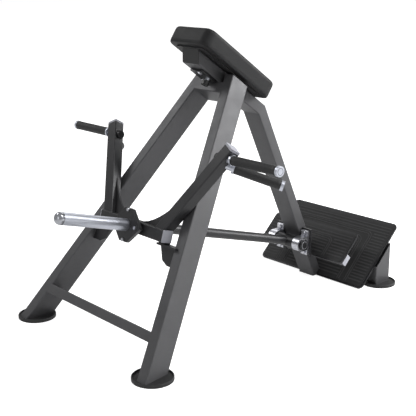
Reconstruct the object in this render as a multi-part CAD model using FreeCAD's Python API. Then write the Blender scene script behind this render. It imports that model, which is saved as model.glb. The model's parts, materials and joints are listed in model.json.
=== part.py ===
"""Chest-supported incline lever row, plate loaded.

Units are millimetres. +Z is up, -X is the weight-horn end, +X the foot-plate end,
and the machine is symmetric about Y = 0. The origin is on the floor, under the middle.
One STEP file is written for each node, into parts/.
"""
import math
import os

import FreeCAD
import Part

V = FreeCAD.Vector

# ---------------------------------------------------------------- driving dimensions
TUBE_W = 100.0            # wide side of the frame tubes
TUBE_D = 50.0             # narrow side of the frame tubes
WALL = 3.0                # tube wall
CORNER = 5.0              # outer corner radius of the frame tubes

LEG_FOOT_X = -720.0       # front leg axis at the floor
LEG_FOOT_Y = 408.0
LEG_LEAN_X = 0.719        # rearward travel per mm of height
LEG_LEAN_Y = 0.323        # inward travel per mm of height
LEG_TOP_S = 1240.0        # top cut, measured along the leg slope
BRACE_S = (116.0, 156.0)  # front brace, lower and upper face along the leg slope
BRACE_D = 60.0
HEAD_S = (1152.0, 1206.0)  # head cross member along the leg slope, trimmed by the carrier

FOOT_R = 80.5
FOOT_T = 8.0              # height of the disc the tube stands on
FOOT_RIM = 6.0            # rim above that

SPINE_DEG = 115.37        # slope of the rear main tube, from +X
SPINE_FRONT = 1168.0      # its front plane, see spine_plane()
SPINE_FOOT_Z = 12.0

PAD_DEG = -34.5          # slope of the chest pad, front end high
PAD_L = 461.0
PAD_W = 239.0
PAD_T = 76.5
PAD_R = 39.0              # corner radius in plan
PAD_CORNER = (-208.6, 1172.0)   # front lower edge of the cushion, X and Z
BOARD_T = 5.0

PIVOT = (428.0, 202.0)    # lever pivot, X and Z
LEVER_DEG = 15.5          # lever slope at rest
LEVER_R = 21.2
LEVER_WALL = 4.0
BEAM_AT = 938.0           # pivot to beam centre
BEAM_HALF = 205.0
BEAM_S = 50.0
FLANGE_AT = 970.0         # pivot to the first flange
FLANGE_T = 8.0
NECK_R = 27.0
FLANGE_BOLT_R = 62.0
HORN_R = 25.0
HORN_TIP = 1322.0         # pivot to horn tip
HORN_CAP = 26.0           # length of the domed end
ARM_BASE_Y = 162.0
ARM_TOP = (-308.0, 376.0, 815.0)   # middle of the arm's front face at its top
ARM_CAP = 9.0             # height of the plastic caps on the arms
GRIP_R = 19.0
GRIP_Z = 761.0            # height of the lateral grip, then of the angled one's root
GRIP_B_Z = 741.0
GRIP_B = (0.621, -0.718, -0.315)
GRIP_END_Y = 644.0
REST_PAD_T = 6.0          # rubber between the beam and its rests
SHAFT_R = 15.0
BORE_R = 15.05
HUB_R = 30.0
BLOCK_Y = (58.0, 98.0)
BLOCK_H = 46.0            # shaft centre to the block's base
BLOCK_L = 120.0
EAR_T = 8.0

MAIN_X, MAIN_Z = 584.0, 5.5       # lower edge of the main foot plate
MAIN_LEN = 372.0
MAIN_HALF = 330.0
STEP_X, STEP_Z = 513.0, 129.0      # lower edge of the raised foot plate
STEP_LEN = 172.0
STEP_HALF = 264.0
STEP_TUBE = (50.0, 28.0)           # flat tube under the raised plate
PLATE_T = 6.0
TREAD_T = 3.0
RIB_T = 1.5
POST_X, POST_Y = 730.0, 318.0


# ---------------------------------------------------------------- helpers
def unit(x, y, z):
    """Return a unit vector."""
    v = V(x, y, z)
    return v.multiply(1.0 / v.Length)


def obox(centre, ax, side, length, width, depth):
    """Box with its length along ax, its width along side and its depth along ax x side."""
    third = ax.cross(side)
    box = Part.makeBox(length, width, depth, V(-length / 2.0, -width / 2.0, -depth / 2.0))
    box.Placement = FreeCAD.Placement(centre, FreeCAD.Rotation(ax, side, third, "XYZ"))
    return box


def bar(centre, ax, side, length, width, depth, radius=CORNER):
    """Rectangular bar whose four long edges are rounded."""
    box = obox(centre, ax, side, length, width, depth)
    edges = [e for e in box.Edges if abs(e.tangentAt(e.FirstParameter).dot(ax)) > 0.99]
    return box.makeFillet(radius, edges)


def tube(centre, ax, side, length, width, depth, wall=WALL, radius=CORNER):
    """Rectangular tube, open at both ends."""
    outer = bar(centre, ax, side, length, width, depth, radius)
    inner = bar(centre, ax, side, length + 20.0, width - 2.0 * wall, depth - 2.0 * wall,
                max(radius - wall, 1.0))
    return outer.cut(inner)


def rod(start, ax, radius, length):
    """Cylinder from a point along a direction."""
    return Part.makeCylinder(radius, length, start, ax)


def pipe(start, ax, radius, bore, length):
    """Cylinder with a through bore."""
    return rod(start, ax, radius, length).cut(rod(start - ax * 5.0, ax, bore, length + 10.0))


def trim(shape, point, normal):
    """Remove everything on the side of the plane that normal points to."""
    side = V(0, 1, 0) if abs(normal.y) < 0.9 else V(1, 0, 0)
    side = (side - normal * side.dot(normal)).normalize()
    return shape.cut(obox(point + normal * 2000.0, normal, side, 4000.0, 4000.0, 4000.0))


def mirror(shape):
    """Copy of a shape on the other side of the machine."""
    return shape.mirror(V(0, 0, 0), V(0, 1, 0))


def export(name, shape):
    """Write one node; a compound with a single solid is written as that solid."""
    solids = shape.Solids
    if len(solids) == 1:
        shape = solids[0]
    shape.exportStep("parts/%s.step" % name)
    print(name, len(solids), round(shape.Volume, 1))


def pair(name, shape):
    """Write a node and its mirror image: the shape is the right-hand one, at -Y."""
    export(name + "_right", shape)
    export(name + "_left", mirror(shape))


def both(name, *shapes):
    """Write one node that holds the right-hand shapes and their mirror images."""
    parts = []
    for shape in shapes:
        for solid in shape.Solids:
            parts.append(solid)
            parts.append(mirror(solid))
    export(name, Part.makeCompound(parts))


def prism(points, origin, u, v, n, thick):
    """Plate: a polygon given in (u, v) about an origin, centred on its plane."""
    pts = [origin + u * a + v * b - n * (thick / 2.0) for a, b in points]
    return Part.Face(Part.makePolygon(pts + pts[:1])).extrude(n * thick)


def hex_head(centre, ax, across, height):
    """Hexagon bolt head or nut."""
    side = V(0, 1, 0) if abs(ax.y) < 0.9 else V(1, 0, 0)
    side = (side - ax * side.dot(ax)).normalize()
    third = ax.cross(side)
    r = across / math.sqrt(3.0)
    pts = []
    for k in range(6):
        a = math.radians(60 * k)
        pts.append(centre + side * (r * math.cos(a)) + third * (r * math.sin(a)))
    return Part.Face(Part.makePolygon(pts + pts[:1])).extrude(ax * height)


X = V(1, 0, 0)
Y = V(0, 1, 0)
Z = V(0, 0, 1)

# leg slope (G, in the side view), its rearward normal (W)
G = unit(LEG_LEAN_X, 0, 1)
W = V(G.z, 0, -G.x)
LEG_ORIGIN = V(LEG_FOOT_X, 0, 0)
# pad slope: P runs to the rear and down, N is the upward normal
P = V(math.cos(math.radians(PAD_DEG)), 0, math.sin(math.radians(PAD_DEG)))
N = V(-P.z, 0, P.x)
PAD_O = V(PAD_CORNER[0], 0, PAD_CORNER[1])
# spine: S runs up, F is the rearward normal
S = V(math.cos(math.radians(SPINE_DEG)), 0, math.sin(math.radians(SPINE_DEG)))
F = V(S.z, 0, -S.x)
# lever: A runs from the pivot to the horn, U is its upward normal
A = V(-math.cos(math.radians(LEVER_DEG)), 0, math.sin(math.radians(LEVER_DEG)))
U = V(A.z, 0, -A.x)
PIV = V(PIVOT[0], 0, PIVOT[1])
# foot plates: E runs up the slope, M is the normal that faces the user
E = unit(1, 0, 1)
M = unit(-1, 0, 1)


def spine_plane(offset):
    """Point of the spine's plane that lies offset mm along F, from the point X = -720, Z = 0."""
    return LEG_ORIGIN + F * offset


# ---------------------------------------------------------------- front frame
def leg_axis(sign):
    """Direction of a front leg, upward; sign is -1 for the right-hand one."""
    return unit(LEG_LEAN_X, -sign * LEG_LEAN_Y, 1)


def leg_solid(inner=0.0):
    """Outer (or inner) solid of the right-hand leg before it is trimmed."""
    ax = leg_axis(-1)
    side = ax.cross(W).normalize()
    centre = V(LEG_FOOT_X, -LEG_FOOT_Y, 0) + ax * 660.0
    return bar(centre, ax, W, 1600.0, TUBE_W - 2 * inner, TUBE_D - 2 * inner, max(CORNER - inner, 1.0))


def trim_leg(shape):
    """Cut a leg at the disc and parallel to the pad."""
    shape = trim(shape, V(0, 0, FOOT_T), V(0, 0, -1))
    return trim(shape, LEG_ORIGIN + G * LEG_TOP_S, N)


def legs():
    """Two splayed front legs."""
    outer = trim_leg(leg_solid())
    leg = outer.cut(leg_solid(WALL))
    pair("leg", leg)
    return outer


def foot(x, y):
    """Round rubber foot with a raised rim."""
    disc = rod(V(x, y, 0), Z, FOOT_R, FOOT_T + FOOT_RIM)
    disc = disc.cut(rod(V(x, y, FOOT_T), Z, FOOT_R - 5.0, 20.0))
    edges = []
    for e in disc.Edges:
        c = e.Curve
        if isinstance(c, Part.Circle) and abs(c.Radius - FOOT_R) < 0.01 and e.BoundBox.ZMin > FOOT_T:
            edges.append(e)
    return disc.makeFillet(2.5, edges)


def feet():
    """Four disc feet."""
    mid = FOOT_T + FOOT_RIM / 2
    pair("foot_front", foot(LEG_FOOT_X + LEG_LEAN_X * mid, -LEG_FOOT_Y + LEG_LEAN_Y * mid))
    pair("foot_rear", foot(POST_X, -POST_Y))


def brace(leg_outer):
    """Lateral tube between the front legs, near the floor."""
    mid = (BRACE_S[0] + BRACE_S[1]) / 2.0
    centre = LEG_ORIGIN + G * mid - W * (TUBE_W / 2.0 - BRACE_D / 2.0)
    body = tube(centre, Y, G, 1200.0, BRACE_S[1] - BRACE_S[0], BRACE_D)
    body = body.cut(leg_outer.fuse(leg_solid(5.0))).cut(mirror(leg_outer.fuse(leg_solid(5.0))))
    keep = [s for s in body.Solids if abs(s.CenterOfMass.y) < 50]
    export("front_brace", keep[0])


def head(leg_outer, carrier_outer):
    """Lateral block of tube between the leg heads, under the pad carrier."""
    mid = (HEAD_S[0] + HEAD_S[1]) / 2.0
    body = tube(LEG_ORIGIN + G * mid, Y, G, 400.0, HEAD_S[1] - HEAD_S[0], TUBE_W)
    body = body.cut(leg_outer.fuse(leg_solid(5.0))).cut(mirror(leg_outer.fuse(leg_solid(5.0))))
    body = trim(body, PAD_O - N * (BOARD_T + TUBE_D), N)
    keep = [s for s in body.Solids if abs(s.CenterOfMass.y) < 50 and s.BoundBox.YLength > 100]
    export("head_cross", keep[0])


# ---------------------------------------------------------------- spine and pad
def mitre():
    """Plane of the joint between the spine and the pad carrier: a point and a normal along S."""
    top = PAD_O - N * BOARD_T
    rear = spine_plane(SPINE_FRONT + TUBE_D)
    outer = meet(top, P, rear, S)
    inner = meet(top - N * TUBE_D, P, spine_plane(SPINE_FRONT), S)
    along = (outer - inner).normalize()
    return inner, V(-along.z, 0, along.x)


def meet(p, d, q, e):
    """Crossing of two lines in the side view."""
    det = d.x * (-e.z) - d.z * (-e.x)
    r = q - p
    t = (r.x * (-e.z) - r.z * (-e.x)) / det
    return p + d * t


def spine():
    """Rear main tube: from the floor up to the mitre."""
    point, normal = mitre()
    mid = spine_plane(SPINE_FRONT + TUBE_D / 2.0)
    body = tube(mid + S * 100.0, S, Y, 2400.0, TUBE_W, TUBE_D)
    body = trim(body, point, normal)
    body = trim(body, V(0, 0, SPINE_FOOT_Z), V(0, 0, -1))
    export("spine", body)
    base = meet(mid, S, V(0, 0, 0), V(1, 0, 0))
    pad = Part.makeBox(60.0, 92.0, SPINE_FOOT_Z, V(base.x - 33.0, -46.0, 0))
    export("spine_foot", pad.makeFillet(4.0, [e for e in pad.Edges if e.BoundBox.ZLength > 5]))
    return trim(bar(mid + S * 100.0, S, Y, 2400.0, TUBE_W, TUBE_D), point, normal)


def carrier():
    """Upper tube that carries the pad, closed by a plate at its front end."""
    point, normal = mitre()
    mid = PAD_O - N * (BOARD_T + TUBE_D / 2.0) + P * 250.0
    front = V(-176.0, 0, 0)
    outer = trim(bar(mid, P, Y, 1000.0, TUBE_W, TUBE_D), point, normal * -1.0)
    inner = bar(mid, P, Y, 1040.0, TUBE_W - 2 * WALL, TUBE_D - 2 * WALL, CORNER - WALL)
    outer = trim(outer, front, V(-1, 0, 0))
    body = trim(outer.cut(inner), front + V(3, 0, 0), V(-1, 0, 0))
    cap = trim(outer, front + V(3, 0, 0), V(1, 0, 0))
    export("carrier_tube", body)
    export("carrier_cap", cap)
    return outer


def rounded_slab(corner, along, length, width, thick, radius, up):
    """Slab with rounded plan corners; corner is the middle of its front lower edge."""
    box = obox(corner + along * (length / 2.0) + up * (thick / 2.0), along, Y, length, width, thick)
    edges = [e for e in box.Edges if abs(e.tangentAt(e.FirstParameter).dot(up)) > 0.99]
    return box.makeFillet(radius, edges)


def pad():
    """Cushion and the board under it."""
    slab = rounded_slab(PAD_O, P, PAD_L, PAD_W, PAD_T, PAD_R, N)
    top = PAD_O + N * PAD_T
    edges = [e for e in slab.Edges if abs((e.CenterOfMass - top).dot(N)) < 0.1]
    cushion = slab.makeFillet(20.0, edges)
    export("pad_cushion", cushion)
    inset = 34.0
    board = rounded_slab(PAD_O + P * inset - N * BOARD_T, P, PAD_L - 2 * inset, PAD_W - 2 * inset,
                         BOARD_T, 12.0, N)
    export("pad_board", board)


def under(x, y):
    """Point on the carrier's lower face, at X and Y."""
    base = PAD_O - N * (BOARD_T + TUBE_D)
    t = (x - base.x) / P.x
    return base + P * t + V(0, y, 0)


def adjuster():
    """Clamp plate, two bolts and the spring pull-pin under the carrier."""
    down = N * -1.0
    plate = obox(under(-103.0, 0) + down * 5.0, P, Y, 92.0, 76.0, 10.0)
    bolts = []
    for x, y in ((-130.0, -16.0), (-80.0, 16.0)):
        plate = plate.cut(rod(under(x, y) - down * 5.0, down, 5.0, 30.0))
        head_ = hex_head(under(x, y) + down * 10.0, down, 17.0, 7.0)
        bolts.append(head_.fuse(rod(under(x, y), down, 5.0, 10.0)))
    seat = under(-96.0, -24.0)
    plate = plate.cut(rod(seat - down * 5.0, down, 10.0, 30.0))
    export("clamp_plate", plate)
    export("clamp_bolts", Part.makeCompound(bolts))
    bush = pipe(seat, down, 10.0, 5.05, 22.0)
    export("pin_bushing", bush)
    pin = rod(seat + down * 2.0, down, 5.0, 22.0)
    pin = pin.fuse(rod(seat + down * 22.3, down, 16.0, 22.0))
    knob = pin.removeSplitter()
    export("pull_pin", knob)


# ---------------------------------------------------------------- foot plates and rear frame
def slope_plate(x, z, length, half, thick, lift, radius):
    """Plate on the foot slope: x, z is its lower edge, lift its height above the slope."""
    origin = V(x, 0, z) + M * lift
    return rounded_slab(origin, E, length, 2 * half, thick, radius, M)


def tread(x, z, length, half, slot_half, slot_len, notch):
    """Ribbed rubber mat: ribs run across, with a border frame, over a slotted base."""
    base = slope_plate(x, z, length, half, TREAD_T, 0, 10.0)
    origin = V(x, 0, z) + M * TREAD_T
    strips = []
    rows = int((length - 40.0) / 14.0)
    start = 20.0 + (length - 40.0 - (rows - 1) * 14.0) / 2.0
    for k in range(rows):
        c = origin + E * (start + 14.0 * k) + M * (RIB_T / 2.0 - 0.25)
        strips.append(obox(c, E, Y, 6.0, 2 * half - 64.0, RIB_T + 0.5))
    for y in (-half + 22.0, half - 22.0):
        c = origin + E * (length / 2.0) + V(0, y, 0) + M * (RIB_T / 2.0 - 0.25)
        strips.append(obox(c, E, Y, length - 24.0, 5.0, RIB_T + 0.5))
    mat = base.multiFuse(strips).removeSplitter()
    if notch:
        mat = mat.cut(notch)
    return mat


def foot_plates(spine_outer):
    """Main plate, raised plate, their treads and the flat tube under the raised one."""
    clear = obox(spine_plane(SPINE_FRONT + TUBE_D / 2.0) - S * 300.0, S, Y, 1000.0,
                 TUBE_W + 4.0, TUBE_D + 4.0)
    main = slope_plate(MAIN_X, MAIN_Z, MAIN_LEN, MAIN_HALF, PLATE_T, -PLATE_T, 24.0).cut(clear)
    export("main_plate", main)
    mat = tread(MAIN_X + 6.0, MAIN_Z + 6.0, MAIN_LEN - 17.0, MAIN_HALF - 8.0, 0, 0, clear)
    export("main_tread", mat)
    step = slope_plate(STEP_X, STEP_Z, STEP_LEN, STEP_HALF, PLATE_T, -PLATE_T, 20.0).cut(clear)
    export("step_plate", step)
    mat = tread(STEP_X + 5.0, STEP_Z + 5.0, STEP_LEN - 14.0, STEP_HALF - 7.0, 0, 0, clear)
    export("step_tread", mat)
    # flat tube under the lower edge of the raised plate, closed by plastic caps
    reach = STEP_HALF - 4.0
    centre = V(STEP_X, 0, STEP_Z) + E * 34.0 - M * (PLATE_T + STEP_TUBE[1] / 2.0)
    rail = tube(centre, Y, E, 2 * reach, STEP_TUBE[0], STEP_TUBE[1], 2.0, 3.0).cut(spine_outer)
    export("step_tube", rail)
    cap = bar(centre + V(0, -reach - 2.0, 0), Y, E, 4.0, STEP_TUBE[0], STEP_TUBE[1], 3.0)
    both("step_tube_caps", cap)


def below_main(shape):
    """Trim a member so that it ends under the main plate."""
    return trim(shape, V(MAIN_X, 0, MAIN_Z) - M * PLATE_T, M)


def rear(spine_outer):
    """Rear posts, their cross tube and the rail that ties it to the spine."""
    post = tube(V(POST_X, -POST_Y, 200.0), Z, Y, 500.0, TUBE_D, TUBE_W)
    post = trim(post, V(0, 0, FOOT_T), V(0, 0, -1))
    post = below_main(post)
    pair("rear_post", post)
    inner = POST_Y - TUBE_D / 2.0
    cross = tube(V(POST_X, 0, 64.0), Y, Z, 2 * inner, 50.0, TUBE_W)
    export("rear_cross", cross)
    x1 = POST_X - TUBE_W / 2.0
    x0 = 560.0
    rail = tube(V((x0 + x1) / 2.0, 0, 39.0 + 12.0), V(1, 0, 0), Y, x1 - x0, 80.0, 44.0)
    rail = below_main(rail.cut(spine_outer))
    keep = [s for s in rail.Solids if s.CenterOfMass.x > 620.0]
    export("rear_rail", keep[0])
    # angle brackets that carry the plate's sides on the cross tube
    block = Part.makeBox(6.0, 60.0, 300.0, V(POST_X - 3.0, -180.0, 89.0))
    both("plate_brackets", below_main(block))


# ---------------------------------------------------------------- bearings
def bearing_block():
    """Right-hand pillow block, on the ear beside the spine, before its bolt holes."""
    y0 = -BLOCK_Y[1]
    width = BLOCK_Y[1] - BLOCK_Y[0]
    mid = PIV + V(0, -(BLOCK_Y[0] + BLOCK_Y[1]) / 2.0, 0)
    base = obox(mid + X * (BLOCK_H - 7.0), Z, Y, BLOCK_L, width, 14.0)
    ends = [e for e in base.Edges if e.BoundBox.YLength > 1 and e.CenterOfMass.x < mid.x + BLOCK_H - 7.0]
    base = base.makeFillet(5.0, ends)
    body = rod(PIV + V(0, y0, 0), Y, 34.0, width)
    neck = obox(mid + X * (BLOCK_H / 2.0), Z, Y, 68.0, width, BLOCK_H)
    block = base.fuse(body).fuse(neck).removeSplitter()
    return block.cut(rod(PIV + V(0, y0 - 5, 0), Y, 26.0, width + 10.0)), mid


def bearings():
    """Ears on the spine's sides, two pillow blocks with their inserts, and the bolts."""
    block, mid = bearing_block()
    ear = Part.makeBox(EAR_T, BLOCK_Y[1] + 8.0 - TUBE_W / 2.0, BLOCK_L + 12.0,
                       V(PIV.x + BLOCK_H, -BLOCK_Y[1] - 8.0, PIV.z - BLOCK_L / 2.0 - 6.0))
    bolts = []
    for k in (-1, 1):
        at = mid + X * BLOCK_H + Z * (46.0 * k)
        hole = rod(at - X * 30.0, X, 6.0, 60.0)
        block = block.cut(hole)
        ear = ear.cut(hole)
        bolt = hex_head(at - X * 14.0, X * -1.0, 18.0, 8.0).fuse(rod(at - X * 14.0, X, 6.0, 14.0 + EAR_T))
        bolt = bolt.fuse(hex_head(at + X * EAR_T, X, 18.0, 10.0))
        bolts.append(bolt)
    both("bearing_plate", ear)
    pair("bearing_block", block)
    insert = pipe(PIV + V(0, -BLOCK_Y[1] - 2.0, 0), Y, 26.0, BORE_R, BLOCK_Y[1] - BLOCK_Y[0] + 4.0)
    both("bearing_inserts", insert)
    both("bearing_bolts", *bolts)


# ---------------------------------------------------------------- lever
def beam_centre():
    """Middle of the lever's cross beam."""
    return PIV + A * BEAM_AT


def lever():
    """Hub, shaft, lever tube, cross beam with its caps, flanges and weight horn."""
    y1 = BLOCK_Y[0] - 3.0
    hub = pipe(PIV - Y * y1, Y, HUB_R, SHAFT_R, 2 * y1)
    export("hub", hub)
    reach = BLOCK_Y[1] + 14.0
    export("pivot_shaft", rod(PIV - Y * reach, Y, SHAFT_R, 2 * reach))
    collar = pipe(PIV - Y * (reach - 1.0), Y, 25.0, SHAFT_R, 9.0)
    both("shaft_collars", collar)
    half = BEAM_S / 2.0
    arm = pipe(PIV, A, LEVER_R, LEVER_R - LEVER_WALL, BEAM_AT - half)
    arm = arm.cut(rod(PIV - Y * 100.0, Y, HUB_R, 200.0))
    export("lever_tube", max(arm.Solids, key=lambda s: s.Volume))
    c = beam_centre()
    export("beam", tube(c, Y, A, 2 * BEAM_HALF, BEAM_S, BEAM_S))
    cap = bar(c - Y * (BEAM_HALF + 2.0), Y, A, 4.0, BEAM_S, BEAM_S)
    cap = cap.makeFillet(1.5, [e for e in cap.Edges if e.CenterOfMass.y < -BEAM_HALF - 3.9])
    both("beam_caps", cap)
    flange_points = ((-92, 0), (-24, -68), (24, -68), (92, 0), (24, 68), (-24, 68))
    holes = []
    for k in range(4):
        a = math.radians(90 * k)
        at = PIV + A * FLANGE_AT + Y * (FLANGE_BOLT_R * math.cos(a)) + U * (FLANGE_BOLT_R * math.sin(a))
        holes.append((k, at))
    flanges = []
    for i in range(2):
        o = PIV + A * (FLANGE_AT + FLANGE_T * (i + 0.5))
        f = prism(flange_points, o, Y, U, A, FLANGE_T)
        for _, at in holes:
            f = f.cut(rod(at - A * 10.0, A, 4.0, 60.0))
        flanges.append(f)
    neck = rod(c + A * half, A, NECK_R, FLANGE_AT - BEAM_AT - half)
    export("beam_flange", flanges[0].fuse(neck))
    export("horn_flange", flanges[1])
    bolts = []
    for k, at in holes:
        bolt = rod(at, A, 4.0, 2 * FLANGE_T)
        bolt = bolt.fuse(hex_head(at + A * (2 * FLANGE_T), A, 13.0, 5.5))
        bolt = bolt.fuse(hex_head(at, A * -1.0, 13.0, 6.5))
        bolts.append(bolt)
    export("flange_bolts", Part.makeCompound(bolts))
    start = FLANGE_AT + 2 * FLANGE_T
    export("weight_horn", pipe(PIV + A * start, A, HORN_R, HORN_R - 4.0, HORN_TIP - start - HORN_CAP))
    plug = rod(PIV + A * (HORN_TIP - HORN_CAP), A, HORN_R, HORN_CAP)
    tip = [e for e in plug.Edges if abs((e.CenterOfMass - PIV).dot(A) - HORN_TIP) < 0.1]
    export("horn_cap", plug.makeFillet(19.0, tip))


def arm_frame():
    """Axis of the right-hand arm: base point, unit direction, slope and rearward normal."""
    c = beam_centre()
    base = V(c.x, -ARM_BASE_Y, c.z)
    top = V(ARM_TOP[0], -ARM_TOP[1], ARM_TOP[2])
    slope = unit(top.x - base.x, 0, top.z - base.z)
    back = V(slope.z, 0, -slope.x)
    for _ in range(4):
        centre_top = top + back * (BEAM_S / 2.0)
        slope = unit(centre_top.x - base.x, 0, centre_top.z - base.z)
        back = V(slope.z, 0, -slope.x)
    d = centre_top - base
    return base, d, slope, back


def above_beam(shape):
    """Trim a member at the top face of the beam."""
    return trim(shape, beam_centre() + U * (BEAM_S / 2.0), U * -1.0)


def arms():
    """Arms, caps and gussets, right-hand side mirrored to the left."""
    base, d, slope, back = arm_frame()
    ax = unit(d.x, d.y, d.z)
    side = back
    length = d.Length
    centre = base + ax * (length / 2.0)
    outer = above_beam(bar(centre, ax, side, length, BEAM_S, BEAM_S))
    body = above_beam(tube(centre - ax * (ARM_CAP / 2.0), ax, side, length - ARM_CAP, BEAM_S, BEAM_S))
    pair("arm", body)
    cap = bar(base + ax * (length - ARM_CAP / 2.0), ax, side, ARM_CAP, BEAM_S, BEAM_S)
    both("arm_caps", cap)
    # gusset between the beam's top and the arm's inner face, in the arm's own plane
    c = beam_centre()
    points = [(-28, 10)]
    for k in range(9):
        t = k / 8.0
        points.append((-28 * (1 - t) ** 2 - 244 * t * (1 - t) - 224 * t ** 2,
                       26 * (1 - t) ** 2 + 60 * t * (1 - t) + 168 * t ** 2))
    points += [(-300, 168), (-200, 10)]
    gusset = above_beam(prism(points, c, Y, slope, back, 8.0)).cut(outer)
    keep = max(gusset.Solids, key=lambda s: s.Volume)
    both("gussets", keep)
    return base, d, slope, back, outer


def rests(leg_outer):
    """Brackets on the legs' inner faces that the lever's beam rests on, with rubber pads."""
    c = beam_centre() - A * 12.0
    low = BEAM_S / 2.0 + 0.4
    pad_top = c - U * low
    slab = obox(pad_top - U * (REST_PAD_T / 2.0) - Y * 184.0, Y, A, 36.0, 30.0, REST_PAD_T)
    both("rest_pads", slab)
    top = low + REST_PAD_T
    shelf = obox(c - U * (top + 4.0) - Y * 220.0, Y, A, 116.0, 44.0, 8.0)
    points = ((-164, -top - 8), (-190, -96), (-222, -112), (-320, -112), (-320, -top - 8))
    web = prism(points, c - A * 4.0, Y, U, A, 8.0)
    bracket = shelf.fuse(web).cut(leg_outer.fuse(leg_solid(5.0)))
    keep = max(bracket.Solids, key=lambda s: s.CenterOfMass.y)
    both("rest_brackets", keep)


def grip(start, ax, at, length, name, arm_outer):
    """One handgrip: chrome bar with collar and end disc, rubber sleeve."""
    core = rod(start, ax, 13.0, at + length + 3.0)
    core = core.fuse(rod(start + ax * (at - 9.0), ax, 21.0, 9.0))
    core = core.fuse(rod(start + ax * (at + length), ax, 20.0, 12.0))
    core = core.cut(arm_outer)
    core = max(core.Solids, key=lambda s: s.Volume)
    sleeve = pipe(start + ax * at, ax, GRIP_R, 13.0, length)
    pair(name + "_bar", core)
    pair(name + "_sleeve", sleeve)


def grips(base, d, slope, back, arm_outer):
    """Two grips on each arm, and the round boss on its inner face."""
    v = (GRIP_Z - base.z) / d.z
    at_a = base + d * v
    grip(at_a, Y * -1.0, 50.0, GRIP_END_Y - 12.0 - 50.0 - abs(at_a.y), "grip_wide", arm_outer)
    at_b = base + d * ((GRIP_B_Z - base.z) / d.z)
    grip(at_b, unit(*GRIP_B), 58.0, 186.0, "grip_angled", arm_outer)
    boss = rod(at_a, Y, 17.0, 42.0).cut(arm_outer)
    boss = max(boss.Solids, key=lambda s: s.CenterOfMass.y)
    both("grip_bosses", boss)


def main():
    """Build and write every node."""
    os.makedirs("parts", exist_ok=True)
    leg_outer = legs()
    feet()
    brace(leg_outer)
    spine_outer = spine()
    carrier_outer = carrier()
    head(leg_outer, carrier_outer)
    pad()
    adjuster()
    foot_plates(spine_outer)
    rear(spine_outer)
    bearings()
    lever()
    base, d, slope, back, outer = arms()
    rests(leg_outer)
    grips(base, d, slope, back, outer)


main()
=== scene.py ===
"""Incline lever row machine: finishes, upholstery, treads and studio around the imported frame."""

import json
import logging
import math
from dataclasses import dataclass
from enum import Enum
from typing import Dict, List, Optional, Sequence, Tuple, Union

import bmesh
import bpy
from mathutils import Matrix, Vector


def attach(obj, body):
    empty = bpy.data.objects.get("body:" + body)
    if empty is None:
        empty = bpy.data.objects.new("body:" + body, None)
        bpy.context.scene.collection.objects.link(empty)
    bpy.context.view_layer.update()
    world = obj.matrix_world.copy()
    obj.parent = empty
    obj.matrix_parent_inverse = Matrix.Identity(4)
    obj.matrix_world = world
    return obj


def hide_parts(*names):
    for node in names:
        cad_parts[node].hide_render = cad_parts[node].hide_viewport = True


LOG = logging.getLogger("row_machine")
MM = 0.001
TO_THE_RIGHT = (0.0, -1.0, 0.0)
PIVOT = (428.0, 0.0, 202.0)
LEVER_ALONG = (-0.96363, 0.0, 0.267238)

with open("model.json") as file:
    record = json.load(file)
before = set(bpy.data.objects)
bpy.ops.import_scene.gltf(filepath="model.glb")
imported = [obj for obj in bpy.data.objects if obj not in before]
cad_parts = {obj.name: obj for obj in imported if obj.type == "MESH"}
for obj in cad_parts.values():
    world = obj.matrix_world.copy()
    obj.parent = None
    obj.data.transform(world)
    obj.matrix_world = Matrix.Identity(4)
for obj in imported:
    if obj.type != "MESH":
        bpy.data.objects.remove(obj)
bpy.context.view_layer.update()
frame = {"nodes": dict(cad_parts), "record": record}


# ---------------------------------------------------------------- small helpers
def linear(hex_colour: str) -> Tuple[float, float, float, float]:
    """Turn an sRGB hex colour into linear RGBA.

    Args:
        hex_colour: six hex digits, with or without a leading #.

    Returns:
        The four linear channels, alpha 1.
    """
    text = hex_colour.lstrip("#")
    out = []
    for k in range(0, 6, 2):
        c = int(text[k : k + 2], 16) / 255
        out.append(c / 12.92 if c <= 0.04045 else ((c + 0.055) / 1.055) ** 2.4)
    return out[0], out[1], out[2], 1.0


def add_node(tree: bpy.types.NodeTree, kind: str, links: Optional[Dict[Union[str, int], object]] = None,
             **settings: object) -> bpy.types.Node:
    """Add one shader node with its settings and links.

    Args:
        tree: node tree that receives the node.
        kind: node type, without the ShaderNode prefix.
        links: input name or index to a value, or to an output socket that feeds it.
        **settings: attributes set on the node itself.

    Returns:
        The new node.
    """
    node = tree.nodes.new("ShaderNode" + kind)
    for key, value in settings.items():
        setattr(node, key, value)
    for key, value in (links or {}).items():
        if isinstance(value, bpy.types.NodeSocket):
            tree.links.new(value, node.inputs[key])
        else:
            node.inputs[key].default_value = value
    return node


def seat(origin: Sequence[float], along: Sequence[float], up: Sequence[float]) -> Matrix:
    """Matrix from a piece's own millimetres to its place in metres.

    Args:
        origin: the piece's own zero point, in millimetres.
        along: direction of its X axis.
        up: direction of its Z axis.

    Returns:
        The placing matrix; its Y axis is up cross along.
    """
    x, z = Vector(along).normalized(), Vector(up).normalized()
    y = z.cross(x)
    turn = Matrix((x, y, z)).transposed().to_4x4()
    return Matrix.Scale(MM, 4) @ Matrix.Translation(Vector(origin)) @ turn


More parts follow.
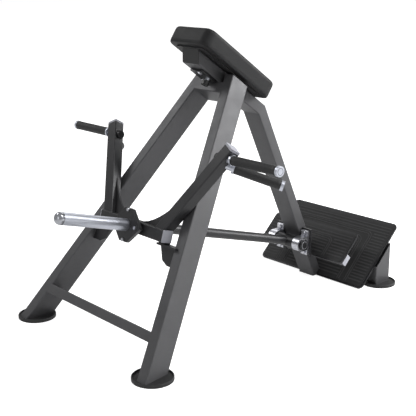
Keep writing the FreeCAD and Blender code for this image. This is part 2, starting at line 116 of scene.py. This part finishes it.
def block(bm: bmesh.types.BMesh, centre: Sequence[float], size: Sequence[float],
          round_top: float = 0.0) -> None:
    """Add a closed block whose upper edges may be rounded.

    Args:
        bm: mesh that receives it.
        centre: its middle.
        size: its extents along X, Y and Z.
        round_top: rounding of the upper edges.
    """
    made = bmesh.ops.create_cube(bm, size=1.0)["verts"]
    bmesh.ops.scale(bm, verts=made, vec=size)
    bmesh.ops.translate(bm, verts=made, vec=centre)
    if round_top:
        top = centre[2] + size[2] / 2 - 1e-6
        rim = {e for v in made for e in v.link_edges if all(q.co.z > top for q in e.verts)}
        bmesh.ops.bevel(bm, geom=list(rim), offset=round_top, affect="EDGES", segments=2,
                        profile=0.5, material=-1)


def turned(bm: bmesh.types.BMesh, outline: Sequence[Tuple[float, float]], steps: int = 40) -> None:
    """Add a closed turned shape about X.

    Args:
        bm: mesh that receives it.
        outline: X and radius of each profile point; a closed ring unless both ends lie on the axis.
        steps: facets round the axis.
    """
    points = [bm.verts.new((x, 0.0, r)) for x, r in outline]
    runs = list(zip(points, points[1:]))
    if outline[0][1] > 0:
        runs.append((points[-1], points[0]))
    edges = [bm.edges.new(pair) for pair in runs]
    bmesh.ops.spin(bm, geom=points + edges, cent=(0, 0, 0), axis=(1, 0, 0), angle=math.tau,
                   steps=steps, use_merge=True)


def new_piece(name: str, bm: bmesh.types.BMesh, material: bpy.types.Material, body: str,
              smooth_deg: float = 40.0) -> bpy.types.Object:
    """Turn a bmesh into a finished piece that rides on a body.

    Args:
        name: name of the piece.
        bm: its geometry, in metres, in place; it is freed.
        material: finish of the piece.
        body: CAD body that carries it.
        smooth_deg: angle below which edges shade smooth.

    Returns:
        The new object.
    """
    bmesh.ops.remove_doubles(bm, verts=bm.verts, dist=1e-6)
    bmesh.ops.recalc_face_normals(bm, faces=bm.faces)
    mesh = bpy.data.meshes.new(name)
    bm.to_mesh(mesh)
    bm.free()
    mesh.materials.append(material)
    mesh.shade_smooth()
    mesh.set_sharp_from_angle(angle=math.radians(smooth_deg))
    piece = bpy.data.objects.new(name, mesh)
    bpy.context.scene.collection.objects.link(piece)
    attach(piece, body)
    LOG.info("piece %s: %d faces on %s", name, len(mesh.polygons), body)
    return piece


# ---------------------------------------------------------------- finishes
class Metalness(Enum):
    """How much of a finish behaves as bare metal."""

    NONE = 0.0
    FLAKE = 0.35
    BARE = 1.0


@dataclass(frozen=True)
class Finish:
    """One surface finish: a base colour broken up by grain, with bump and gloss of its own.

    Sizes are in millimetres. The tone is the slow change of the colour, the grain the fine one.
    """

    name: str
    light: str
    dark: str
    roughness: float
    metal: Metalness = Metalness.NONE
    tone_mm: float = 60.0
    grain_mm: float = 1.5
    grain_height: float = 0.02
    spread: float = 0.06
    coat: float = 0.0
    sheen: float = 0.0
    specular: float = 0.5
    tone_share: float = 0.6
    noise_low: float = 0.3
    noise_high: float = 0.7

    def build(self) -> bpy.types.Material:
        """Make the node material.

        Returns:
            The material, on Object coordinates.
        """
        mat = bpy.data.materials.new(self.name)
        mat.use_nodes = True
        tree = mat.node_tree
        tree.nodes.clear()
        place = add_node(tree, "TexCoord").outputs["Object"]
        tone = add_node(tree, "TexNoise", {"Vector": place, "Scale": 1000 / self.tone_mm,
                                           "Detail": 4.0, "Roughness": 0.55})
        grain = add_node(tree, "TexNoise", {"Vector": place, "Scale": 1000 / self.grain_mm,
                                            "Detail": 2.0, "Roughness": 0.6})
        fine = add_node(tree, "Math", {0: grain.outputs["Fac"], 1: 1.0 - self.tone_share}, operation="MULTIPLY")
        blend = add_node(tree, "Math", {0: tone.outputs["Fac"], 1: self.tone_share, 2: fine.outputs[0]},
                         operation="MULTIPLY_ADD")
        spread = add_node(tree, "MapRange", {"Value": blend.outputs[0],
                                             "From Min": self.noise_low, "From Max": self.noise_high})
        colour = add_node(tree, "Mix", {0: spread.outputs[0], 6: linear(self.dark), 7: linear(self.light)},
                          data_type="RGBA")
        gloss = add_node(tree, "MapRange", {"Value": tone.outputs["Fac"],
                                            "From Min": self.noise_low, "From Max": self.noise_high,
                                            "To Min": self.roughness - self.spread,
                                            "To Max": self.roughness + self.spread})
        bump = add_node(tree, "Bump", {"Height": grain.outputs["Fac"], "Strength": 0.5,
                                       "Distance": self.grain_height * MM})
        shader = add_node(tree, "BsdfPrincipled", {"Base Color": colour.outputs[2],
                                                   "Roughness": gloss.outputs[0],
                                                   "Metallic": self.metal.value,
                                                   "Coat Weight": self.coat,
                                                   "Sheen Weight": self.sheen,
                                                   "Specular IOR Level": self.specular,
                                                   "Normal": bump.outputs[0]})
        add_node(tree, "OutputMaterial", {"Surface": shader.outputs[0]})
        return mat


@dataclass(frozen=True)
class Palette:
    """All finishes of the machine, as built materials."""

    frame: bpy.types.Material
    lever: bpy.types.Material
    vinyl: bpy.types.Material
    board: bpy.types.Material
    rubber: bpy.types.Material
    cap: bpy.types.Material
    chrome: bpy.types.Material
    bright: bpy.types.Material
    zinc: bpy.types.Material
    plastic: bpy.types.Material
    ridge_highlight: bpy.types.Material
    steel: bpy.types.Material


def make_palette() -> Palette:
    """Build every finish.

    Returns:
        The palette.
    """
    return Palette(
        # textured powder coat with fine metallic flake: soft broad highlights
        frame=Finish("powder_coat_grey", "#58585a", "#4e4e50", 0.51, Metalness.FLAKE,
                     grain_mm=1.6, grain_height=0.03).build(),
        lever=Finish("powder_coat_black", "#303032", "#28282a", 0.4, Metalness.FLAKE,
                     grain_mm=1.6, grain_height=0.03).build(),
        vinyl=Finish("upholstery_vinyl", "#252526", "#1f1f20", 0.55, grain_mm=2.2, grain_height=0.08,
                     sheen=0.02, specular=0.2).build(),
        board=Finish("painted_plywood", "#1b1b1c", "#141415", 0.6, grain_mm=3.0).build(),
        rubber=Finish("moulded_rubber", "#232324", "#1c1c1d", 0.62, grain_mm=1.2,
                      grain_height=0.05).build(),
        # painted highlight: a lighter copy of the moulded rubber for the mats' raised ribs and lines, where
        # light catches them
        ridge_highlight=Finish("ridge_highlight_rubber", "#3e3e3f", "#323233", 0.7, grain_mm=1.2, grain_height=0.05).build(),
        cap=Finish("moulded_polyethylene", "#bcbdc6", "#b2b3bc", 0.5, grain_mm=1.0).build(),
        chrome=Finish("hard_chrome", "#c3c6cf", "#b9bcc5", 0.4, Metalness.BARE, spread=0.02,
                      grain_height=0.002).build(),
        # painted reflection: a darker copy of the chrome for the horn's cap, standing in for the dark
        # surroundings its dome mirrors
        bright=Finish("polished_chrome_dark_reflection", "#a9abb1", "#9fa1a7", 0.2, Metalness.BARE, spread=0.02,
                      grain_height=0.001).build(),
        zinc=Finish("zinc_plate", "#c9cad0", "#b4b5bb", 0.3, Metalness.BARE, spread=0.06,
                    grain_height=0.01).build(),
        plastic=Finish("moulded_nylon", "#222223", "#1a1a1b", 0.4).build(),
        steel=Finish("oiled_black_steel", "#1f1f21", "#171719", 0.4, Metalness.FLAKE,
                     grain_mm=1.0, grain_height=0.01).build(),
    )


def dress_nodes(palette: Palette) -> None:
    """Give each CAD node the finish of its material slot.

    Args:
        palette: the built finishes.
    """
    by_slot = {"frame_paint": palette.frame, "lever_paint": palette.lever, "vinyl": palette.vinyl,
               "board": palette.board, "rubber": palette.rubber, "cap_plastic": palette.cap,
               "chrome": palette.chrome, "zinc": palette.zinc, "black_plastic": palette.plastic,
               "black_steel": palette.steel}
    for part in frame["record"]["subparts"]:
        node = frame["nodes"][part["node"]]
        # the horn cap takes the darker chrome, a painted dark reflection
        finish = palette.bright if part["node"] == "horn_cap" else by_slot[part["material_slot"]]
        node.data.materials.clear()
        node.data.materials.append(finish)


# ---------------------------------------------------------------- chest pad
@dataclass
class ChestPad:
    """Upholstered cushion: soft vinyl over firm foam, with a seam pulled in near its lower edge.

    Sizes are in millimetres, in the pad's own axes. The cloth stage lasts `steps` frames, and
    `passes` rounds of averaging then take the creases out of its swell.
    """

    corner: Tuple[float, float, float] = (-208.6, 0.0, 1172.0)
    slope_deg: float = -34.5
    length: float = 461.0
    width: float = 239.0
    thick: float = 76.5
    edge: float = 39.0
    inset: float = 1.5
    voxel: float = 5.0
    top_round: float = 14.0
    low_round: float = 6.0
    pressure: float = 4.0
    steps: int = 20
    swell: float = 4.0
    passes: int = 40
    kept_share: float = 0.4
    seam_down: float = 8.0
    seam_width: float = 2.2
    seam_depth: float = 1.8
    crown: float = 2.5
    side_gap: float = 0.2
    board_gap: float = 0.3

    def place(self) -> Matrix:
        """Matrix of the pad's own axes: X down the slope, Z out of the pad."""
        a = math.radians(self.slope_deg)
        return seat(self.corner, (math.cos(a), 0, math.sin(a)), (-math.sin(a), 0, math.cos(a)))

    def core(self) -> bmesh.types.BMesh:
        """Slab with rounded corners and softened faces, a little smaller than the cushion.

        Returns:
            The slab, in the pad's own millimetres.
        """
        bm = bmesh.new()
        bmesh.ops.create_cube(bm, size=1.0)
        bmesh.ops.scale(bm, verts=bm.verts, vec=(self.length - 2 * self.inset, self.width - 2 * self.inset,
                                                 self.thick - 2 * self.inset))
        bmesh.ops.translate(bm, verts=bm.verts, vec=(self.length / 2, 0, self.thick / 2))
        posts = [e for e in bm.edges if abs(e.verts[0].co.z - e.verts[1].co.z) > 1]
        bmesh.ops.bevel(bm, geom=posts, offset=self.edge - self.inset, affect="EDGES", segments=10,
                        profile=0.5, material=-1)
        rim = [e for e in bm.edges if all(v.co.z > self.thick - self.inset - 0.1 for v in e.verts)]
        bmesh.ops.bevel(bm, geom=rim, offset=self.top_round, affect="EDGES", segments=5,
                        profile=0.5, material=-1)
        rim = [e for e in bm.edges if all(v.co.z < self.inset + 0.1 for v in e.verts)]
        bmesh.ops.bevel(bm, geom=rim, offset=self.low_round, affect="EDGES", segments=3,
                        profile=0.5, material=-1)
        return bm

    def inflate(self, cushion: bpy.types.Object) -> None:
        """Press the cover out with a short cloth simulation, then pull it taut.

        Args:
            cushion: remeshed slab, in place.
        """
        scene = bpy.context.scene
        before = [v.co.copy() for v in cushion.data.vertices]
        cloth = cushion.modifiers.new("cover", "CLOTH")
        cloth.settings.effector_weights.gravity = 0.0
        cloth.settings.use_pressure = True
        cloth.settings.uniform_pressure_force = self.pressure
        cloth.settings.quality = 5
        for number in range(1, self.steps + 1):
            scene.frame_set(number)
        shape = cushion.evaluated_get(bpy.context.evaluated_depsgraph_get())
        after = [v.co.copy() for v in shape.data.vertices]
        cushion.modifiers.remove(cloth)
        scene.frame_set(1)
        self.stretch(cushion.data, before, after)

    def stretch(self, mesh: bpy.types.Mesh, before: List[Vector], after: List[Vector]) -> None:
        """Pull the simulated cover taut: keep the even swell, up to its limit, and drop the creases.

        Args:
            mesh: the cushion's mesh, at its start shape.
            before: each point before the simulation.
            after: each point after it.
        """
        bm = bmesh.new()
        bm.from_mesh(mesh)
        bm.verts.ensure_lookup_table()
        swell = [min(max((new - old).dot(v.normal), 0.0), self.swell * MM)
                 for v, old, new in zip(bm.verts, before, after)]
        near = [[e.other_vert(v).index for e in v.link_edges] for v in bm.verts]
        own, others = self.kept_share, 1.0 - self.kept_share
        for _ in range(self.passes):
            swell = [own * here + others * sum(swell[j] for j in ring) / len(ring)
                     for here, ring in zip(swell, near)]
        for vert, reach in zip(bm.verts, swell):
            mesh.vertices[vert.index].co = vert.co + vert.normal * reach
        bm.free()

    def settle(self, cushion: bpy.types.Object) -> None:
        """Pull the seam line in and keep the cushion to its own space.

        Args:
            cushion: cushion in place.
        """
        there = self.place()
        back = there.inverted()
        for vert in cushion.data.vertices:
            p = back @ vert.co
            dip = math.exp(-((p.z - self.seam_down) / self.seam_width) ** 2)
            side = Vector((p.x - self.length / 2, p.y, 0))
            if dip > 0.02 and side.length > 1:
                reach = max(abs(side.x) / (self.length / 2), abs(side.y) / (self.width / 2))
                if reach > 0.8:
                    p -= side.normalized() * self.seam_depth * dip
            half = self.width / 2 - self.side_gap
            p.x = min(max(p.x, self.side_gap), self.length - self.side_gap)
            p.y = min(max(p.y, -half), half)
            p.z = min(max(p.z, self.board_gap), self.thick + self.crown)
            vert.co = there @ p

    def build(self, vinyl: bpy.types.Material) -> None:
        """Make the cushion.

        Args:
            vinyl: its cover.
        """
        bm = self.core()
        bmesh.ops.transform(bm, matrix=self.place(), verts=bm.verts)
        cushion = new_piece("chest_cushion", bm, vinyl, "frame", 180.0)
        grid = cushion.modifiers.new("grid", "REMESH")
        grid.mode = "VOXEL"
        grid.voxel_size = self.voxel * MM
        self.bake(cushion, vinyl)
        self.inflate(cushion)
        self.settle(cushion)
        smooth = cushion.modifiers.new("smooth", "SUBSURF")
        smooth.levels = smooth.render_levels = 1
        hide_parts("pad_cushion")

    @staticmethod
    def bake(piece: bpy.types.Object, finish: bpy.types.Material) -> None:
        """Apply a piece's modifiers to its mesh.

        Args:
            piece: the piece.
            finish: material kept on it.
        """
        graph = bpy.context.evaluated_depsgraph_get()
        mesh = bpy.data.meshes.new_from_object(piece.evaluated_get(graph))
        piece.modifiers.clear()
        piece.data = mesh
        mesh.materials.clear()
        mesh.materials.append(finish)
        mesh.shade_smooth()


# ---------------------------------------------------------------- foot plates
@dataclass
class FootTread:
    """Moulded rubber mat on a foot plate: cross ribs, and a framed panel in the middle.

    Sizes are in millimetres. Each of `lines` is the half width and the upper end of one frame,
    outermost first.
    """

    name: str
    node: str
    lower_edge: Tuple[float, float]
    length: float
    half: float
    notch: float
    lines: Tuple[Tuple[float, float], ...]
    base: float = 3.0
    rib: float = 1.5
    pitch: float = 16.0
    rib_width: float = 7.0
    margin: float = 9.0
    line_gap: float = 14.0
    line_apart: float = 5.5
    line_half: float = 2.5
    line_turn: float = 24.0
    line_start: float = 8.0
    corner: float = 18.0
    notch_half: float = 52.5
    sunk: float = 0.1

    def place(self) -> Matrix:
        """Matrix of the mat's own axes: X up the slope, Z out of the mat."""
        return seat((self.lower_edge[0], 0.0, self.lower_edge[1]), (1, 0, 1), (-1, 0, 1))

    def slab(self, bm: bmesh.types.BMesh) -> None:
        """Add the flat mat, with its corners rounded and the spine's notch left out.

        Args:
            bm: mesh that receives it.
        """
        n, h, w, end = self.notch, self.notch_half, self.half, self.length
        outline = ((0, -w), (end, -w), (end, w), (0, w), (0, h), (n, h), (n, -h), (0, -h))
        face = bm.faces.new([bm.verts.new((x, y, 0.0)) for x, y in outline])
        corners = [v for v in face.verts if abs(abs(v.co.y) - w) < 0.1]
        bmesh.ops.bevel(bm, geom=corners, offset=self.corner, affect="VERTICES", segments=8,
                        profile=0.5, material=-1)
        body = bmesh.ops.extrude_face_region(bm, geom=list(bm.faces))["geom"]
        lifted = [v for v in body if isinstance(v, bmesh.types.BMVert)]
        bmesh.ops.translate(bm, verts=lifted, vec=(0, 0, self.base))
        rim = [e for e in bm.edges if all(v.co.z > self.base - 0.1 for v in e.verts)]
        bmesh.ops.bevel(bm, geom=rim, offset=1.2, affect="EDGES", segments=2, profile=0.5, material=-1)

    def ribs(self, bm: bmesh.types.BMesh) -> None:
        """Add the cross ribs, broken at the panel's frame and at the notch.

        Args:
            bm: mesh that receives them.
        """
        rows = int((self.length - 22.0) // self.pitch)
        first = (self.length - (rows - 1) * self.pitch) / 2
        (outer, top), (inner, low) = self.lines[0], self.lines[-1]
        edge = self.half - self.margin
        for k in range(rows):
            x = first + k * self.pitch
            cuts = [edge]
            if x < top + self.line_gap:
                cuts += [outer + self.line_gap, inner - self.line_gap if x < low - self.line_gap else 0.0]
            if x < self.notch + 5.0:
                cuts.append(self.notch_half + 4.0)
            for a, b in self.spans(cuts):
                block(bm, (x, (a + b) / 2, self.base + self.rib / 2 - self.sunk),
                      (self.rib_width, b - a, self.rib + 2 * self.sunk), 0.9)

    @staticmethod
    def spans(cuts: Sequence[float]) -> List[Tuple[float, float]]:
        """Turn the places where a rib starts and stops into its pieces on both sides.

        Args:
            cuts: distances from the middle, outermost first: end, gap start, gap end and so on.

        Returns:
            The rib's pieces as pairs of Y.
        """
        right = [(cuts[k + 1] if k + 1 < len(cuts) else 0.0, cuts[k]) for k in range(0, len(cuts), 2)]
        right = [(a, b) for a, b in right if b - a > 2.0]
        whole = [(-b, b) for a, b in right if a == 0.0]
        return whole + [pair for a, b in right if a > 0.0 for pair in ((a, b), (-b, -a))]

    def frame(self, bm: bmesh.types.BMesh) -> None:
        """Add the double raised line round the middle panel, open at the lower edge.

        Args:
            bm: mesh that receives it.
        """
        for at, end, inset in ((at, end, side * self.line_apart) for at, end in self.lines for side in (-1, 1)):
            y, top, turn = at - inset, end - inset, self.line_turn - inset
            path = [(self.line_start, -y), (top - turn, -y)]
            for k in range(1, 8):
                a = math.pi / 2 * k / 8
                path.append((top - turn + turn * math.sin(a), -y + turn - turn * math.cos(a)))
            path.append((top, -y + turn))
            path += [(px, -py) for px, py in reversed(path)]
            self.ridge(bm, path)

    def ridge(self, bm: bmesh.types.BMesh, path: Sequence[Tuple[float, float]]) -> None:
        """Add one raised line along a path on the mat.

        Args:
            bm: mesh that receives it.
            path: its middle line, X and Y.
        """
        rows = []
        for k, (x, y) in enumerate(path):
            ahead = Vector(path[min(k + 1, len(path) - 1)]) - Vector(path[max(k - 1, 0)])
            side = Vector((-ahead.y, ahead.x)).normalized() * self.line_half
            low, high = self.base - self.sunk, self.base + self.rib
            section = ((1.0, low), (1.0, high - 0.7), (0.55, high),
                       (-0.55, high), (-1.0, high - 0.7), (-1.0, low))
            rows.append([bm.verts.new((x + side.x * s, y + side.y * s, z)) for s, z in section])
        loops = [[bm.edges.new((row[i], row[(i + 1) % 6])) for i in range(6)] for row in rows]
        for a, b in zip(loops, loops[1:]):
            bmesh.ops.bridge_loops(bm, edges=a + b)
        bm.faces.new(rows[0])
        bm.faces.new(rows[-1])

    def build(self, rubber: bpy.types.Material, ridge_highlight: bpy.types.Material) -> None:
        """Make the mat.

        Args:
            rubber: its finish.
            ridge_highlight: lighter copy of the rubber on the raised ribs and lines, a painted highlight where
                light catches their tops.
        """
        bm = bmesh.new()
        self.slab(bm)
        flat = set(bm.faces)
        self.ribs(bm)
        self.frame(bm)
        # the raised ribs and lines take the lighter rubber, a painted highlight; the flat mat keeps the plain
        # rubber
        for face in bm.faces:
            face.material_index = 0 if face in flat else 1
        bmesh.ops.transform(bm, matrix=self.place(), verts=bm.verts)
        mat = new_piece(self.name, bm, rubber, "frame", 35.0)
        mat.data.materials.append(ridge_highlight)
        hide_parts(self.node)


# ---------------------------------------------------------------- handgrips
@dataclass
class Handgrip:
    """Moulded rubber sleeve on a chrome bar: fine rings between two plain shoulders.

    Sizes are in millimetres, along the bar from its root.
    """

    name: str
    node: str
    root: Tuple[float, float, float]
    along: Tuple[float, float, float]
    start: float
    length: float
    radius: float = 19.0
    bore: float = 13.1
    shoulder: float = 13.0
    lip: float = 1.6
    ring_pitch: float = 5.0
    ring_depth: float = 0.5
    ring_slope: float = 0.9

    def outline(self) -> List[Tuple[float, float]]:
        """Profile of the sleeve, X and radius.

        Returns:
            The closed ring of points.
        """
        r, start, end = self.radius, self.start, self.start + self.length
        points = [(start, self.bore), (start, r - self.lip), (start + self.lip, r), (start + self.shoulder, r)]
        rings = int((self.length - 2 * self.shoulder - 2.0) // self.ring_pitch)
        x0 = start + (self.length - rings * self.ring_pitch) / 2
        for k in range(rings):
            x, floor = x0 + k * self.ring_pitch, r - self.ring_depth
            points += [(x, r - 0.1), (x + self.ring_slope, floor),
                       (x + 2 * self.ring_slope, floor), (x + 3 * self.ring_slope, r - 0.1)]
        return points + [(end - self.shoulder, r), (end - self.lip, r), (end, r - self.lip), (end, self.bore)]

    def build(self, rubber: bpy.types.Material) -> None:
        """Make the right-hand sleeve and its mirror image.

        Args:
            rubber: their finish.
        """
        for side, sign in (("right", 1.0), ("left", -1.0)):
            bm = bmesh.new()
            turned(bm, self.outline())
            root = (self.root[0], self.root[1] * sign, self.root[2])
            along = (self.along[0], self.along[1] * sign, self.along[2])
            level = Vector(along).cross(Vector((1, 0, 0)))
            bmesh.ops.transform(bm, matrix=seat(root, along, level), verts=bm.verts)
            piece = new_piece(f"{self.name}_{side}", bm, rubber, "lever", 50.0)
            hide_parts(f"{self.node}_{side}")


# ---------------------------------------------------------------- small trim
@dataclass
class TrimRing:
    """Thin ring on the end face of a bar or a collar, mirrored to the left when the bar is."""

    name: str
    root: Tuple[float, float, float]
    along: Tuple[float, float, float]
    start: float
    inner: float
    outer: float
    slot: str
    thick: float = 0.6
    chamfer: float = 0.2
    mirrored: bool = True

    def build(self, finish: bpy.types.Material) -> None:
        """Make the ring, and its mirror image where there is one.

        Args:
            finish: their finish.
        """
        end, cut = self.start + self.thick, self.chamfer
        ring = [(self.start, self.inner), (end - cut, self.inner), (end, self.inner + cut),
                (end, self.outer - cut), (end - cut, self.outer), (self.start, self.outer)]
        for side, sign in (("_right", 1.0), ("_left", -1.0)) if self.mirrored else (("", 1.0),):
            bm = bmesh.new()
            turned(bm, ring, 48)
            along = (self.along[0], self.along[1] * sign, self.along[2])
            level = Vector(along).cross(Vector((1, 0.1, 0)))
            there = seat((self.root[0], self.root[1] * sign, self.root[2]), along, level)
            bmesh.ops.transform(bm, matrix=there, verts=bm.verts)
            new_piece(self.name + side, bm, finish, "lever", 30.0)


# ---------------------------------------------------------------- studio
@dataclass
class Studio:
    """Floor, lamps, world and camera, in metres, degrees and watts."""

    camera_at: Tuple[float, float, float] = (-2.5215, -2.7429, 1.4621)
    azimuth: float = -41.67
    elevation: float = 15.35
    lens: float = 76.0
    floor_half: float = 30.0
    glow_from: float = 2.0
    glow_full: float = 4.5
    floor_glow: float = 0.8
    floor_in_gloss: float = 0.4
    sky: float = 0.2
    metal_sky: float = 0.3
    aim: Tuple[float, float, float] = (0.0, 0.0, 0.5)

    def camera(self) -> None:
        """Place the camera."""
        az, el = math.radians(self.azimuth), math.radians(self.elevation)
        look = Vector((-math.sin(az) * math.cos(el), math.cos(az) * math.cos(el), -math.sin(el)))
        data = bpy.data.cameras.new("camera")
        data.sensor_width = 36.0
        data.lens = self.lens
        camera = bpy.data.objects.new("camera", data)
        camera.rotation_mode = "QUATERNION"
        camera.rotation_quaternion = look.to_track_quat("-Z", "Y")
        camera.location = self.camera_at
        bpy.context.scene.collection.objects.link(camera)
        bpy.context.scene.camera = camera

    def floor(self) -> None:
        """Lay the pale floor."""
        bm = bmesh.new()
        bmesh.ops.create_grid(bm, x_segments=1, y_segments=1, size=self.floor_half)
        mesh = bpy.data.meshes.new("floor")
        bm.to_mesh(mesh)
        bm.free()
        floor = bpy.data.objects.new("floor", mesh)
        bpy.context.scene.collection.objects.link(floor)
        mat = bpy.data.materials.new("floor_paint")
        mat.use_nodes = True
        tree = mat.node_tree
        tree.nodes.clear()
        path = add_node(tree, "LightPath")
        dimmed = add_node(tree, "Math", {0: path.outputs["Is Glossy Ray"], 1: self.floor_in_gloss},
                          operation="MULTIPLY")
        seen = add_node(tree, "Math", {0: path.outputs["Is Camera Ray"], 1: dimmed.outputs[0]},
                        operation="MAXIMUM")
        place = add_node(tree, "TexCoord").outputs["Object"]
        away = add_node(tree, "VectorMath", {0: place}, operation="LENGTH")
        glow = add_node(tree, "MapRange", {"Value": away.outputs["Value"],
                                           "From Min": self.glow_from, "From Max": self.glow_full,
                                           "To Min": self.floor_glow, "To Max": 1.0})
        paint = add_node(tree, "BsdfDiffuse", {"Color": linear("#f2f2f2")})
        light = add_node(tree, "Emission", {"Color": linear("#ffffff"), "Strength": glow.outputs[0]})
        lift = add_node(tree, "AddShader", {0: paint.outputs[0], 1: light.outputs[0]})
        mix = add_node(tree, "MixShader", {0: seen.outputs[0], 1: paint.outputs[0], 2: lift.outputs[0]})
        add_node(tree, "OutputMaterial", {"Surface": mix.outputs[0]})
        mesh.materials.append(mat)

    def world(self) -> None:
        """White surround for the eye, a softer one for the light."""
        world = bpy.data.worlds.new("surround")
        bpy.context.scene.world = world
        world.use_nodes = True
        tree = world.node_tree
        tree.nodes.clear()
        path = add_node(tree, "LightPath")
        seen = add_node(tree, "Math", {0: path.outputs["Is Camera Ray"],
                                       1: path.outputs["Is Transmission Ray"]}, operation="MAXIMUM")
        level = add_node(tree, "Math", {0: path.outputs["Is Glossy Ray"], 1: self.metal_sky, 2: self.sky},
                         operation="MULTIPLY_ADD")
        dim = add_node(tree, "Background", {"Color": linear("#ffffff"), "Strength": level.outputs[0]})
        white = add_node(tree, "Background", {"Color": linear("#ffffff"), "Strength": 1.0})
        mix = add_node(tree, "MixShader", {0: seen.outputs[0], 1: dim.outputs[0], 2: white.outputs[0]})
        add_node(tree, "OutputWorld", {"Surface": mix.outputs[0]})

    def lamp(self, name: str, at: Sequence[float], size: float, power: float) -> None:
        """Hang one soft area lamp that faces the machine.

        Args:
            name: name of the lamp.
            at: its place, in metres.
            size: side of its square face, in metres.
            power: its power, in watts.
        """
        data = bpy.data.lights.new(name, "AREA")
        data.size = size
        data.energy = power
        lamp = bpy.data.objects.new(name, data)
        lamp.location = at
        lamp.rotation_mode = "QUATERNION"
        lamp.rotation_quaternion = (Vector(self.aim) - Vector(at)).to_track_quat("-Z", "Y")
        bpy.context.scene.collection.objects.link(lamp)

    def build(self) -> None:
        """Set up the whole studio."""
        self.camera()
        self.floor()
        self.world()
        self.lamp("key_softbox", (1.2, -3.2, 4.2), 2.2, 125.0)
        self.lamp("right_softbox", (3.4, -2.0, 1.9), 1.8, 122.0)
        self.lamp("left_softbox", (-1.6, 2.4, 3.0), 1.0, 30.0)
        self.lamp("front_softbox", (-4.0, -0.2, 1.6), 2.0, 14.0)
        self.lamp("rear_softbox", (3.0, 2.8, 3.0), 2.5, 30.0)
        bpy.context.scene.view_settings.view_transform = "Standard"


def make_mats(palette: Palette) -> None:
    """Lay the two foot mats.

    Args:
        palette: the built finishes.
    """
    for mat in (
        FootTread(name="main_foot_mat", node="main_tread", lower_edge=(590.0, 11.5), length=355.0, half=322.0,
                  notch=34.5, lines=((222.0, 283.0), (180.0, 250.0))),
        FootTread(name="raised_foot_mat", node="step_tread", lower_edge=(518.0, 134.0), length=158.0, half=257.0,
                  notch=48.0, lines=((141.0, 104.0),)),
    ):
        mat.build(palette.rubber, palette.ridge_highlight)


def make_grips(palette: Palette) -> None:
    """Fit the four grips, each with a thin dark ring on the end face of its bar, painted shade for the groove
    there.

    Args:
        palette: the built finishes.
    """
    for grip in (
        Handgrip(name="wide_grip", node="grip_wide_sleeve", root=(-308.825, -350.296, 761.0),
                 along=TO_THE_RIGHT, start=50.0, length=231.7),
        Handgrip(name="angled_grip", node="grip_angled_sleeve", root=(-319.661, -338.082, 741.0),
                 along=(0.620879, -0.71786, -0.314939), start=58.0, length=186.0),
    ):
        grip.build(palette.rubber)
        # painted shade: a thin dark steel ring on the bar's end face stands in for the shaded groove there
        bar_end = grip.start + grip.length + 12.0
        TrimRing(name=f"{grip.name}_end_groove", root=grip.root, along=grip.along, start=bar_end,
                 inner=12.2, outer=13.8, slot="black_steel").build(palette.steel)


def make_lever_trim(palette: Palette) -> None:
    """Fit the washers on the shaft's ends, and a thin dark rubber band at the horn's cap, painted shade for the
    groove where the cap meets the horn.

    Args:
        palette: the built finishes.
    """
    TrimRing(name="shaft_washer", root=PIVOT, along=TO_THE_RIGHT, start=111.0, inner=15.4, outer=19.5,
             slot="zinc").build(palette.zinc)
    # painted shade: the dark rubber band stands in for the shaded groove where the cap meets the horn
    TrimRing(name="horn_cap_joint", root=PIVOT, along=LEVER_ALONG, start=1294.8, inner=24.0, outer=25.12,
             slot="rubber", thick=2.0, mirrored=False).build(palette.rubber)


def main() -> None:
    """Build the scene."""
    logging.basicConfig(level=logging.INFO, format="%(name)s: %(message)s")
    Studio().build()
    palette = make_palette()
    dress_nodes(palette)
    ChestPad().build(palette.vinyl)
    make_mats(palette)
    make_grips(palette)
    make_lever_trim(palette)


if __name__ == "__main__":
    main()
